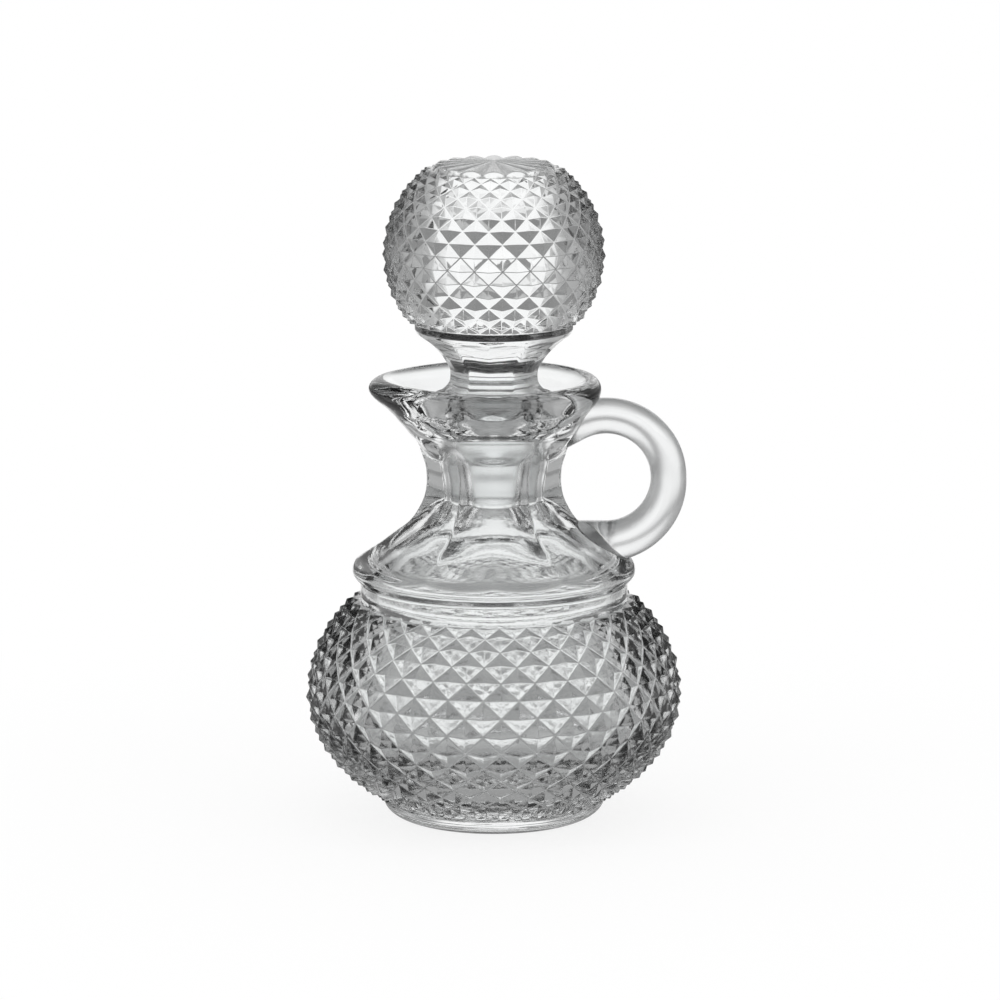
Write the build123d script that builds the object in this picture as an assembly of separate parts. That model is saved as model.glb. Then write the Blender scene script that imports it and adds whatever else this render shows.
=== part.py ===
from build123d import *
from math import acos, cos, degrees, hypot, radians, sin, sqrt
import os

# A pressed glass cruet: a footed bulb covered with diamond points, a faceted neck with a poured lip,
# a loop handle set on afterwards, and a solid glass stopper that is ground to fit the neck.
# The axis of the bottle is Z, the foot stands on Z = 0, the spout points to -X and the handle to +X.
# Outlines give the radius first and the height second.

# Foot
FOOT_RADIUS = 27.7
FOOT_EDGE_HEIGHT = 4.5
FOOT_HEIGHT = 5.4
FOOT_RING_OUTER = 21.5
FOOT_RING_INNER = 19.6
FOOT_HOLLOW_RADIUS = 14.0
FOOT_HOLLOW_DEPTH = 1.9

# Bulb, measured in the grooves between the diamonds
BULB_RADIUS = 45.3
BULB_EQUATOR_HEIGHT = 31.0
BULB_UPPER_REACH = 34.9
BULB_LOWER_REACH = 31.4
BULB_DIAMONDS_TOP = 54.4
BULB_DIAMONDS_AROUND = 32
BULB_DIAMOND_ROWS = 16
BULB_DIAMOND_RISE = 1.7
BULB_PATTERN_TURN = 2.3

# Plain band, rolled collar and the edge of the shoulder
BAND_RADIUS = 33.2
BAND_TOP = 59.2
COLLAR_RADIUS = 35.1
COLLAR_HEIGHT = 61.9
COLLAR_TOP_RADIUS = 34.6
COLLAR_TOP = 63.6
SHOULDER_RADIUS = 33.9
SHOULDER_HEIGHT = 64.9

# Faceted neck, measured over its ridges
NECK_RADIUS = 16.75
NECK_WAIST_HEIGHT = 85.0
NECK_TOP_RADIUS = 18.8
NECK_TOP = 93.6
NECK_BLANK_RADIUS = 20.5
NECK_BLANK_TOP = 88.5
NECK_FACET_PAIRS = 6
NECK_PAIR_ANGLE = 12.5

# Mouth and spout
MOUTH_RADIUS = 26.5
MOUTH_TOP = 110.4
LIP_THICKNESS = 3.9
SPOUT_REACH = 30.9
SPOUT_SHARPNESS = 13
MOUTH_SECTION_POINTS = 32

# Inside of the bottle
BELLY_RADIUS = 41.6
BELLY_FLOOR = 7.4
BAND_WALL = 3.9
BAND_MIDDLE = 56.0

# Ground plug of the stopper and its seat in the neck
PLUG_BOTTOM_RADIUS = 7.5
PLUG_BOTTOM = 79.3
PLUG_CHAMFER = 0.5
PLUG_TOP_RADIUS = 9.4
PLUG_TOP = 99.0
SEAT_CLEARANCE = 0.12

# Flange and faceted stem of the stopper, the stem measured over its ridges
FLANGE_RADIUS = 15.2
FLANGE_HEIGHT = 105.2
FLANGE_EDGE = 0.9
STEM_RADIUS = 10.9
STEM_WAIST_HEIGHT = 110.8
STEM_BLANK_RADIUS = 18.9
STEM_BLANK_TOP = 121.4
STEM_FACETS = 6
STEM_TURN = -4.0

# Ball of the stopper, measured in the grooves between the diamonds
BALL_RADIUS = 26.3
BALL_CENTRE_HEIGHT = 141.4
BALL_VERTICAL_REACH = 25.7
BALL_DIAMONDS_BOTTOM = 124.6
BALL_DIAMONDS_TOP = 162.2
BALL_DIAMONDS_AROUND = 24
BALL_DIAMOND_ROWS = 15
BALL_DIAMOND_RISE = 1.3
BALL_PATTERN_TURN = 4.7
BALL_BAND_RADIUS = 19.5
BALL_BAND_BOTTOM = 122.6

# Rosette of petals on the crown of the ball
CROWN_RADIUS = 15.2
CROWN_TOP = 164.4
CROWN_PETALS = 16
PETAL_THICKNESS = 2.9
PETAL_ROOT_RADIUS = 1.6
PETAL_TIP_TOP = 163.6

# Handle, a loop beside the neck
HANDLE_HOLE_RADIUS = 11.05
HANDLE_HOLE_REACH = 27.7
HANDLE_HOLE_HEIGHT = 85.3
HANDLE_THICKNESS = 8.9
HANDLE_ROOT_THICKNESS = 10.4
HANDLE_LOWER_ANGLE = -90.0
HANDLE_UPPER_ANGLE = 118.0
HANDLE_STATIONS = 8
HANDLE_END_LENGTH = 8.0

# Slices that each row of diamonds is measured in, and how far a cut runs past what it cuts
SLICES_PER_ROW = 40
OVERRUN = 2.0

# Ridge of the neck below its waist: share of the shoulder's flare, share of the climb to the waist
SHOULDER_RIDGE_SHARES = [
    (1.27, -0.115), (1.12, -0.05), (1.0, 0.0), (0.843, 0.1), (0.656, 0.204),
    (0.475, 0.323), (0.242, 0.473), (0.114, 0.627), (0.026, 0.8), (0.0, 1.0),
]
# Ridge above the waist: share of the flare under the mouth, share of the climb to the top of the neck
NECK_RIDGE_SHARES = [(0.17, 0.407), (0.56, 0.7), (1.0, 1.0), (1.93, 1.267), (3.3, 1.43), (5.2, 1.535)]
# Levels of the mouth, outside and inside: share of the height, of the flare and of the spout
MOUTH_OUTSIDE_SHARES = [
    (-0.37, 0.0, 0.0), (-0.15, 0.0, 0.0), (0.0, 0.0, 0.03), (0.143, 0.117, 0.15), (0.351, 0.39, 0.33),
    (0.56, 0.714, 0.5), (0.7, 0.935, 0.77), (0.82, 1.0, 1.0), (0.93, 0.92, 0.96), (0.98, 0.82, 0.88),
    (1.0, 0.7, 0.85),
]
MOUTH_INSIDE_SHARES = [
    (-0.22, -0.14, 0.0), (-0.02, 0.04, 0.0), (0.13, 0.216, 0.02), (0.386, 0.512, 0.14), (0.65, 0.808, 0.41),
    (0.825, 0.956, 0.66), (0.93, 1.017, 0.77), (1.01, 1.096, 0.84), (1.08, 1.18, 0.89),
]
# Inside of the shoulder: share of the way out from the seat to the band, share of the climb to the seat
SHOULDER_INSIDE_SHARES = [
    (0.98, 0.193), (0.856, 0.36), (0.65, 0.506), (0.415, 0.657), (0.194, 0.79), (0.055, 0.9),
]
# Underside of the flange: share of the way out from the plug, share of the climb to the flange
FLANGE_UNDERSIDE_SHARES = [(0.33, 0.35), (0.85, 0.68)]
# Ridge of the stem: share of the way out to the ball's band, share of the climb from flange to band
STEM_LOWER_SHARES = [(0.72, -0.04), (0.4, 0.18), (0.19, 0.43), (0.03, 0.73), (0.0, 1.0)]
STEM_UPPER_SHARES = [
    (0.02, 0.17), (0.08, 0.27), (0.19, 0.415), (0.33, 0.557), (0.51, 0.71), (0.71, 0.85), (0.96, 0.99),
    (1.27, 1.09), (1.6, 1.15),
]
# Straight ends of the handle, which run on into the bottle: shares of their length, outermost first or last
HANDLE_LOWER_END_SHARES = (2, 1)
HANDLE_UPPER_END_SHARES = (0.5, 1)


def on_circle(angle, radius, height):
    """A point at an angle that is counted from the front, towards the handle."""
    return Vector(radius * sin(radians(angle)), -radius * cos(radians(angle)), height)


def turned(*outline):
    """The solid that a closed outline makes when it turns about the axis."""
    return revolve(Plane.XZ * make_face(Curve() + list(outline)), axis=Axis.Z)


def between(start, end, shares):
    """Outline points given as shares of the way from one corner to another."""
    return [(start[0] + (end[0] - start[0]) * out, start[1] + (end[1] - start[1]) * up) for out, up in shares]


def groove_profile(radius, middle, upper_reach, lower_reach, height):
    """Radius of the surface that the grooves lie on, and its outward normal."""
    reach = upper_reach if height > middle else lower_reach
    here = radius * sqrt(1 - ((height - middle) / reach) ** 2)
    out, up = here / radius**2, (height - middle) / reach**2
    length = hypot(out, up)
    return here, out / length, up / length


def bulb_profile(height):
    return groove_profile(BULB_RADIUS, BULB_EQUATOR_HEIGHT, BULB_UPPER_REACH, BULB_LOWER_REACH, height)


def ball_profile(height):
    return groove_profile(BALL_RADIUS, BALL_CENTRE_HEIGHT, BALL_VERTICAL_REACH, BALL_VERTICAL_REACH, height)


def row_heights(profile, bottom, top, rows):
    """Heights of the groove crossings, so that each diamond is as tall for its width as the next."""
    slices = rows * SLICES_PER_ROW
    rise = (top - bottom) / slices
    passed = [0.0]
    for index in range(slices):
        low, high = profile(bottom + index * rise)[0], profile(bottom + (index + 1) * rise)[0]
        passed.append(passed[-1] + 2 * hypot(high - low, rise) / (low + high))
    heights = [bottom]
    for row in range(1, rows):
        wanted = passed[-1] * row / rows
        index = next(i for i in range(slices) if passed[i + 1] >= wanted)
        part = (wanted - passed[index]) / (passed[index + 1] - passed[index])
        heights.append(bottom + (index + part) * rise)
    return heights + [top]


def triangle(*corners):
    return Face(Wire.make_polygon(corners, close=True))


def diamond_points(profile, bottom, top, around, rows, rise, turn):
    """A closed solid whose side is covered with four-sided points between crossing grooves."""
    heights = row_heights(profile, bottom, top, rows)
    half_step = 180 / around

    def crossing(row, place):
        return on_circle(turn + place * half_step, profile(heights[row])[0], heights[row])

    def point(row, place):
        radius, out, up = profile(heights[row])
        if row in (0, rows):
            out, up = 1, 0
        return on_circle(turn + place * half_step, radius + rise * out, heights[row] + rise * up)

    faces, rims = [], {0: [], rows: []}
    for row in range(rows + 1):
        for step in range(around):
            place = 2 * step + (row + 1) % 2
            left, middle, right = crossing(row, place - 1), point(row, place), crossing(row, place + 1)
            if row < rows:
                above = crossing(row + 1, place)
                faces += [triangle(left, middle, above), triangle(middle, right, above)]
            if row > 0:
                below = crossing(row - 1, place)
                faces += [triangle(below, middle, left), triangle(below, right, middle)]
            if row in rims:
                rims[row] += [left, middle]
    ends = [Face(Wire.make_polygon(rim, close=True)) for rim in rims.values()]
    return Solid(Shell(faces + ends))


def faceted(blank, ridge, directions, half_angle):
    """The blank cut by a curved facet for each direction, which leaves ridges between them."""
    panel = [(radius * cos(radians(half_angle)), height) for radius, height in ridge]
    outside = 2 * max(radius for radius, _ in ridge)
    around = Polyline(panel[-1], (outside, panel[-1][1]), (outside, panel[0][1]), panel[0])
    cutter = extrude(Plane.XZ * make_face(Spline(*panel) + around), amount=outside, both=True)
    for direction in directions:
        blank -= Rot(Z=direction) * cutter
    return blank


def make_foot():
    edge = EllipticalCenterArc(
        (FOOT_RING_OUTER, FOOT_EDGE_HEIGHT), FOOT_RADIUS - FOOT_RING_OUTER, FOOT_EDGE_HEIGHT, 270, arc_size=90
    )
    rest = Polyline(
        (FOOT_RADIUS, FOOT_EDGE_HEIGHT), (FOOT_RADIUS, FOOT_HEIGHT), (0, FOOT_HEIGHT), (0, FOOT_HOLLOW_DEPTH),
        (FOOT_HOLLOW_RADIUS, FOOT_HOLLOW_DEPTH), (FOOT_RING_INNER, 0), (FOOT_RING_OUTER, 0),
    )
    return turned(edge, rest)


def make_bulb():
    return diamond_points(
        bulb_profile, FOOT_HEIGHT, BULB_DIAMONDS_TOP, BULB_DIAMONDS_AROUND,
        BULB_DIAMOND_ROWS, BULB_DIAMOND_RISE, BULB_PATTERN_TURN,
    )


def make_collar():
    """The plain band, the rolled collar, and the blank that the neck is cut from."""
    roll = Spline(
        (BAND_RADIUS, BAND_TOP), (COLLAR_RADIUS, COLLAR_HEIGHT),
        (COLLAR_TOP_RADIUS, COLLAR_TOP), (SHOULDER_RADIUS, SHOULDER_HEIGHT),
    )
    blank = Polyline(
        (SHOULDER_RADIUS, SHOULDER_HEIGHT), (NECK_BLANK_RADIUS, NECK_BLANK_TOP), (0, NECK_BLANK_TOP),
        (0, BULB_DIAMONDS_TOP), (BAND_RADIUS, BULB_DIAMONDS_TOP), (BAND_RADIUS, BAND_TOP),
    )
    return turned(roll, blank)


def mouth_section(height, radius, reach):
    """One level of the mouth: a circle that is drawn out towards the spout."""
    points = []
    for index in range(MOUTH_SECTION_POINTS):
        angle = 360 * index / MOUTH_SECTION_POINTS
        pull = ((1 - sin(radians(angle))) / 2) ** SPOUT_SHARPNESS
        points.append(on_circle(angle, radius + (reach - radius) * pull, height))
    return Face(Wire([Spline(*points, periodic=True)]))


def mouth_loft(low, high, levels):
    """A loft through levels that are shares of the way from a low corner to a high one."""
    sections = []
    for up, out, pulled in levels:
        radius, height = between(low, high, [(out, up)])[0]
        sections.append(mouth_section(height, radius, radius + (SPOUT_REACH - MOUTH_RADIUS) * pulled))
    return loft(sections)


def make_mouth():
    return mouth_loft((NECK_TOP_RADIUS, NECK_TOP), (MOUTH_RADIUS, MOUTH_TOP), MOUTH_OUTSIDE_SHARES)


def cut_neck(blank):
    """Six pairs of facets between twelve ridges, from the shoulder up to the arches under the mouth."""
    waist = (NECK_RADIUS, NECK_WAIST_HEIGHT)
    flare, climb = SHOULDER_RADIUS - NECK_RADIUS, NECK_WAIST_HEIGHT - SHOULDER_HEIGHT
    lower = [(NECK_RADIUS + flare * out, SHOULDER_HEIGHT + climb * up) for out, up in SHOULDER_RIDGE_SHARES]
    upper = between(waist, (NECK_TOP_RADIUS, NECK_TOP), NECK_RIDGE_SHARES)
    spread = 360 / NECK_FACET_PAIRS
    centres = [spread * pair for pair in range(NECK_FACET_PAIRS)]
    directions = [centre + side * NECK_PAIR_ANGLE for centre in centres for side in (-1, 1)]
    facing_front = [direction - 90 for direction in directions]
    return faceted(blank, lower + upper, facing_front, spread / 2 - NECK_PAIR_ANGLE)


def seat_radius(height):
    """Radius of the ground seat, which follows the plug with its clearance."""
    taper = (PLUG_TOP_RADIUS - PLUG_BOTTOM_RADIUS) / (PLUG_TOP - PLUG_BOTTOM)
    return PLUG_BOTTOM_RADIUS + taper * (height - PLUG_BOTTOM) + SEAT_CLEARANCE


def make_cavity():
    """The belly, the inside of the shoulder, the ground seat and the funnel of the mouth."""
    band_radius = BAND_RADIUS - BAND_WALL
    band_angle = degrees(acos(band_radius / BELLY_RADIUS))
    upper_reach = (BAND_MIDDLE - BULB_EQUATOR_HEIGHT) / sin(radians(band_angle))
    middle = (0, BULB_EQUATOR_HEIGHT)
    lower = EllipticalCenterArc(middle, BELLY_RADIUS, BULB_EQUATOR_HEIGHT - BELLY_FLOOR, 270, arc_size=90)
    upper = EllipticalCenterArc(middle, BELLY_RADIUS, upper_reach, 0, arc_size=band_angle)
    low, high = (band_radius, BAND_MIDDLE), (seat_radius(PLUG_BOTTOM), PLUG_BOTTOM)
    flare, climb = low[0] - high[0], high[1] - low[1]
    shoulder = [(high[0] + flare * out, low[1] + climb * up) for out, up in SHOULDER_INSIDE_SHARES]
    top = PLUG_TOP + OVERRUN
    seat = Polyline(high, (seat_radius(top), top), (0, top), (0, BELLY_FLOOR))
    inside = turned(lower, upper, Spline(low, *shoulder, high), seat)
    funnel = mouth_loft(
        (seat_radius(PLUG_TOP), PLUG_TOP), (MOUTH_RADIUS - LIP_THICKNESS, MOUTH_TOP), MOUTH_INSIDE_SHARES
    )
    return inside + funnel


def handle_section(angle):
    """A round section of the handle, thicker towards its lower end."""
    share = min(1, max(0, angle / HANDLE_LOWER_ANGLE))
    thickness = HANDLE_THICKNESS + (HANDLE_ROOT_THICKNESS - HANDLE_THICKNESS) * share
    reach = HANDLE_HOLE_RADIUS + thickness / 2
    out, up = cos(radians(angle)), sin(radians(angle))
    centre = Vector(HANDLE_HOLE_REACH + reach * out, 0, HANDLE_HOLE_HEIGHT + reach * up)
    return Plane(centre, x_dir=(0, 1, 0), z_dir=(-up, 0, out)), thickness / 2


def make_handle(bottle_outside):
    """The loop, with straight ends that run on into the bottle and are cut to its surface."""
    turn = HANDLE_UPPER_ANGLE - HANDLE_LOWER_ANGLE
    angles = [HANDLE_LOWER_ANGLE + turn * index / (HANDLE_STATIONS - 1) for index in range(HANDLE_STATIONS)]
    stations = [handle_section(angle) for angle in angles]
    first, last = stations[0], stations[-1]
    before = [(first[0].offset(-HANDLE_END_LENGTH * share), first[1]) for share in HANDLE_LOWER_END_SHARES]
    after = [(last[0].offset(HANDLE_END_LENGTH * share), last[1]) for share in HANDLE_UPPER_END_SHARES]
    sections = [plane * Circle(radius) for plane, radius in before + stations + after]
    return loft(sections) - bottle_outside


def make_stem():
    """Plug, flange and faceted stem, up to the plain band under the ball."""
    flange_low = (PLUG_TOP_RADIUS, PLUG_TOP)
    flange_edge = (FLANGE_RADIUS, FLANGE_HEIGHT)
    underside = Spline(flange_low, *between(flange_low, flange_edge, FLANGE_UNDERSIDE_SHARES), flange_edge)
    blank = Polyline(
        flange_edge, (FLANGE_RADIUS, FLANGE_HEIGHT + FLANGE_EDGE), (STEM_BLANK_RADIUS, STEM_BLANK_TOP),
        (BALL_BAND_RADIUS, BALL_BAND_BOTTOM), (BALL_BAND_RADIUS, BALL_DIAMONDS_BOTTOM), (0, BALL_DIAMONDS_BOTTOM),
        (0, PLUG_BOTTOM), (PLUG_BOTTOM_RADIUS - PLUG_CHAMFER, PLUG_BOTTOM),
        (seat_radius(PLUG_BOTTOM + PLUG_CHAMFER) - SEAT_CLEARANCE, PLUG_BOTTOM + PLUG_CHAMFER), flange_low,
    )
    waist, band = (STEM_RADIUS, STEM_WAIST_HEIGHT), (BALL_BAND_RADIUS, STEM_BLANK_TOP)
    drop = STEM_WAIST_HEIGHT - FLANGE_HEIGHT
    lower = [
        (STEM_RADIUS + (BALL_BAND_RADIUS - STEM_RADIUS) * out, FLANGE_HEIGHT + drop * up)
        for out, up in STEM_LOWER_SHARES
    ]
    upper = between(waist, band, STEM_UPPER_SHARES)
    spread = 360 / STEM_FACETS
    directions = [STEM_TURN - 90 + spread * facet for facet in range(STEM_FACETS)]
    return faceted(turned(underside, blank), lower + upper, directions, spread / 2)


def make_ball():
    return diamond_points(
        ball_profile, BALL_DIAMONDS_BOTTOM, BALL_DIAMONDS_TOP, BALL_DIAMONDS_AROUND,
        BALL_DIAMOND_ROWS, BALL_DIAMOND_RISE, BALL_PATTERN_TURN,
    )


def make_crown():
    """A low dome with petals that swell from the centre to the rim."""
    dome = turned(Polyline(
        (0, BALL_DIAMONDS_TOP), (CROWN_RADIUS, BALL_DIAMONDS_TOP), (0, CROWN_TOP), (0, BALL_DIAMONDS_TOP)
    ))
    half_width = CROWN_RADIUS * sin(radians(180 / CROWN_PETALS))
    tip = Plane((CROWN_RADIUS, 0, PETAL_TIP_TOP - PETAL_THICKNESS / 2), x_dir=(0, 1, 0), z_dir=(1, 0, 0))
    shrink = PETAL_ROOT_RADIUS / CROWN_RADIUS
    root_half = PETAL_THICKNESS * shrink / 2
    root = Plane((PETAL_ROOT_RADIUS, 0, CROWN_TOP - root_half), x_dir=(0, 1, 0), z_dir=(1, 0, 0))
    petal = loft([root * Ellipse(half_width * shrink, root_half), tip * Ellipse(half_width, PETAL_THICKNESS / 2)])
    above = Cylinder(
        CROWN_RADIUS + OVERRUN, CROWN_TOP - BALL_DIAMONDS_TOP + OVERRUN,
        align=(Align.CENTER, Align.CENTER, Align.MIN),
    )
    petal &= Pos(Z=BALL_DIAMONDS_TOP) * above
    for index in range(CROWN_PETALS):
        dome += Rot(Z=360 * index / CROWN_PETALS) * petal
    return dome


def make_bottle():
    neck = cut_neck(make_collar() + make_mouth())
    outside = make_foot() + make_bulb() + neck
    return outside, outside - make_cavity()


def make_stopper():
    return make_stem() + make_ball() + make_crown()


def write(name, solid):
    solid.label = name
    export_step(solid, os.path.join("parts", name + ".step"))


if __name__ == "__main__":
    os.makedirs("parts", exist_ok=True)
    bottle_outside, bottle = make_bottle()
    write("bottle", bottle)
    write("handle", make_handle(bottle_outside))
    write("stopper", make_stopper())
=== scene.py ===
from math import atan2, cos, degrees, e, pi, radians, sin, sqrt

import bmesh
import bpy
import numpy as np
from bpy.props import FloatProperty, FloatVectorProperty, IntProperty, PointerProperty
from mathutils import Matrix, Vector


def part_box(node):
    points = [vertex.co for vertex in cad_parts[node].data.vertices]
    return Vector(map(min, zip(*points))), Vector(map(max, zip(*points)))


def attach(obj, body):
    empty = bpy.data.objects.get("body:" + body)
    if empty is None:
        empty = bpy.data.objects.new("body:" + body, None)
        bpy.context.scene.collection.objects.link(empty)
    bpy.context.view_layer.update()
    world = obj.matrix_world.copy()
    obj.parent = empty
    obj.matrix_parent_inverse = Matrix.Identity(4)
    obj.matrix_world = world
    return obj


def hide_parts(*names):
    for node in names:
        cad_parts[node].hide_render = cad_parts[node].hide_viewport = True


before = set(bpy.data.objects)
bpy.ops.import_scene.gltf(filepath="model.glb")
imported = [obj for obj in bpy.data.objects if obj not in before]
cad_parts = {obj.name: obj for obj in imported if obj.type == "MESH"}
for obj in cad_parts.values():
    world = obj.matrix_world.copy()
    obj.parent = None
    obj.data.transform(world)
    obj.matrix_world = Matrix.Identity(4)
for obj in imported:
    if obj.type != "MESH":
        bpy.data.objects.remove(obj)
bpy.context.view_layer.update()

bl_info = {
    "name": "Pressed glass cruet",
    "version": (1, 0, 0),
    "blender": (4, 5, 0),
    "location": "3D View > Sidebar > Cruet",
    "description": "Builds a diamond-point cruet with its handle and stopper in clear glass",
    "category": "Object",
}

# Heights run up from the table, outlines give the radius first, and angles are counted from the front
# towards the handle. Sizes are in metres, so those typed in millimetres are times MM.
MM = 0.001
_, BOTTLE_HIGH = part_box("bottle")
_, HANDLE_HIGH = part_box("handle")
STOPPER_LOW, STOPPER_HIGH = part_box("stopper")


def number(name, description, default, unit):
    return FloatProperty(name=name, description=description, default=default, min=0, unit=unit, precision=5)


def length(name, description, millimetres):
    return number(name, description, millimetres * MM, "LENGTH")


def angle(name, description, turn):
    return FloatProperty(name=name, description=description, default=radians(turn), unit="ROTATION")


def share(name, description, default):
    return FloatProperty(name=name, description=description, default=default, min=0, subtype="FACTOR")


def how_many(name, description, default):
    return IntProperty(name=name, description=description, default=default, min=3)


class BottleSizes(bpy.types.PropertyGroup):
    foot_radius: length("Foot radius", "Widest part of the foot", 27.7)
    foot_edge: length("Foot edge", "Height at which the rounded edge of the foot ends", 4.5)
    foot_height: length("Foot height", "Height at which the diamonds begin", 5.4)
    foot_ring: length("Foot ring", "Outer radius of the ring that the foot stands on", 21.5)
    foot_ring_width: length("Foot ring width", "Width of the ring that the foot stands on", 1.9)
    foot_hollow_depth: length("Foot hollow depth", "Depth of the hollow under the foot", 1.9)
    diamond_rise: length("Diamond rise", "Height of a diamond over its grooves", 1.7)
    bulb_middle: length("Bulb middle", "Height of the widest part of the bulb", 31.0)
    bulb_upper_reach: length("Bulb upper reach", "Upper half height of the bulb's curve", 34.9)
    bulb_lower_reach: length("Bulb lower reach", "Lower half height of the bulb's curve", 31.4)
    diamonds_top: length("Diamonds top", "Height at which the diamonds end", 54.4)
    diamonds_around: how_many("Diamonds around", "Diamonds in a row", 32)
    diamond_rows: how_many("Diamond rows", "Half rows of diamonds", 16)
    pattern_turn: angle("Pattern turn", "Turn of the diamonds about the axis", 2.3)
    band_radius: length("Band radius", "Radius of the plain band over the diamonds", 33.2)
    band_top: length("Band top", "Height at which the band meets the collar", 59.6)
    collar_radius: length("Collar radius", "Radius of the rolled collar", 35.1)
    shoulder_radius: length("Shoulder radius", "Radius of the shoulder's outer edge", 33.9)
    shoulder_height: length("Shoulder height", "Height of the shoulder's outer edge", 64.9)
    neck_radius: length("Neck radius", "Radius of the neck's ridges at the waist", 16.75)
    neck_waist: length("Neck waist", "Height of the neck's waist", 85.0)
    neck_top_radius: length("Neck top radius", "Radius of the neck's ridges under the mouth", 18.8)
    neck_top: length("Neck top", "Height at which the mouth begins to open", 93.6)
    facet_pairs: how_many("Facet pairs", "Pairs of facets round the neck", 6)
    pair_angle: angle("Pair angle", "Half the turn between a pair's facets at the shoulder", 13.5)
    top_pair_angle: angle("Top pair angle", "Half the turn between a pair's facets under the mouth", 15.0)
    waist_pair_angle: angle("Waist pair angle", "Half the turn between a pair's facets at the waist", 3.5)
    mouth_radius: length("Mouth radius", "Outer radius of the lip away from the spout", 26.5)
    lip_thickness: length("Lip thickness", "Thickness of the lip", 3.9)
    spout_reach: length("Spout reach", "Distance from the axis to the tip of the spout", 30.9)
    belly_radius: length("Belly radius", "Inside radius of the bulb", 41.6)
    belly_floor: length("Belly floor", "Height of the inside floor", 7.4)
    band_wall: length("Band wall", "Thickness of the wall at the plain band", 3.9)
    band_middle: length("Band middle", "Height at which the belly meets the inside of the shoulder", 56.0)
    waviness: length("Waviness", "Height of the slow waves on the inside", 0.05)


class HandleSizes(bpy.types.PropertyGroup):
    hole_radius: length("Hole radius", "Radius of the finger hole", 11.05)
    thickness: length("Thickness", "Thickness of the loop", 8.9)
    root_thickness: length("Root thickness", "Thickness at the lower root", 10.4)
    lower_angle: angle("Lower angle", "Where the loop turns into its lower root", -90.0)
    upper_angle: angle("Upper angle", "Where the loop turns into its upper root", 118.0)
    seating: length("Seating", "How far the roots sink into the bottle's glass", 0.3)


class StopperSizes(bpy.types.PropertyGroup):
    plug_radius: length("Plug radius", "Radius of the plug at its lower end", 7.5)
    plug_top_radius: length("Plug top radius", "Radius of the plug at its upper end", 9.4)
    plug_top: length("Plug top", "Height at which the plug ends", 99.0)
    chamfer: length("Chamfer", "Rounded edge at the lower end of the plug", 0.5)
    clearance: length("Clearance", "Gap between the plug and its seat", 0.12)
    flange_radius: length("Flange radius", "Radius of the flange over the plug", 15.2)
    flange_height: length("Flange height", "Height of the flange's lower edge", 105.2)
    flange_edge: length("Flange edge", "Thickness of the flange's edge", 0.9)
    stem_radius: length("Stem radius", "Radius of the stem's ridges at the waist", 10.9)
    stem_waist: length("Stem waist", "Height of the stem's waist", 110.8)
    stem_top: length("Stem top", "Height at which the stem has opened to the band", 121.4)
    stem_pairs: how_many("Stem pairs", "Pairs of facets round the stem", 6)
    stem_turn: angle("Stem turn", "Turn of the stem's facets about the axis", -4.0)
    pair_angle: angle("Pair angle", "Half the turn between a pair's facets under the ball", 14.0)
    waist_pair_angle: angle("Waist pair angle", "Half the turn between a pair's facets at the waist", 8.0)
    band_radius: length("Band radius", "Radius of the plain band under the ball", 19.5)
    diamond_rise: length("Diamond rise", "Height of a diamond over its grooves", 1.3)
    ball_middle: length("Ball middle", "Height of the ball's middle", 141.4)
    ball_reach: length("Ball reach", "Half height of the ball's curve", 25.7)
    diamonds_bottom: length("Diamonds bottom", "Height at which the diamonds begin", 124.6)
    diamonds_top: length("Diamonds top", "Height at which the diamonds end", 162.2)
    diamonds_around: how_many("Diamonds around", "Diamonds in a row", 24)
    diamond_rows: how_many("Diamond rows", "Half rows of diamonds", 15)
    pattern_turn: angle("Pattern turn", "Turn of the diamonds about the axis", 4.7)
    crown_radius: length("Crown radius", "Radius of the rosette on the crown", 15.2)
    petal_height: length("Petal height", "Height of a petal over the grooves beside it", 1.4)
    petals: how_many("Petals", "Petals of the rosette", 16)


class GlassFinish(bpy.types.PropertyGroup):
    tint: FloatVectorProperty(
        name="Tint", description="Colour of the clear glass", default=(0.97, 0.98, 0.98), min=0, max=1,
        subtype="COLOR",
    )
    roughness: share("Roughness", "Dullness of the fire-polished surface", 0.02)
    pressed_roughness: share("Pressed roughness", "Dullness of the diamonds where light leaves them", 0.12)
    handle_roughness: share("Handle roughness", "Dullness of the handle where light leaves it", 0.34)
    inside_roughness: share("Inside roughness", "Dullness of the inner wall", 0.1)
    ground_roughness: share("Ground roughness", "Dullness of the ground plug and its seat", 0.22)
    bulb_plainness: share("Bulb plainness", "How far light leaves the bulb as if it had no diamonds", 0.67)
    ball_plainness: share("Ball plainness", "How far light leaves the ball as if it had no diamonds", 0.86)
    ball_bulge: share("Ball bulge", "How far light leaves the ball as from a ball, not an upright tube", 0.08)
    ridge_softness: share("Ridge softness", "Rounding of the ridges, as a share of half a diamond", 0.05)
    groove_softness: share("Groove softness", "Rounding of the grooves, as a share of half a diamond", 0.09)
    ripple_size: length("Ripple size", "Width of the slow ripples in the surface", 3.8)
    ripple_height: length("Ripple height", "Height of the slow ripples in the surface", 0.03)
    grain_size: length("Grain size", "Width of the fine grain", 0.7)
    grain_height: length("Grain height", "Height of the fine grain", 0.004)
    mottle_size: length("Mottle size", "Width of the marks that the plunger left on the inner wall", 0.9)
    mottle_height: length("Mottle height", "Height of the marks on the inner wall", 0.026)


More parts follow.
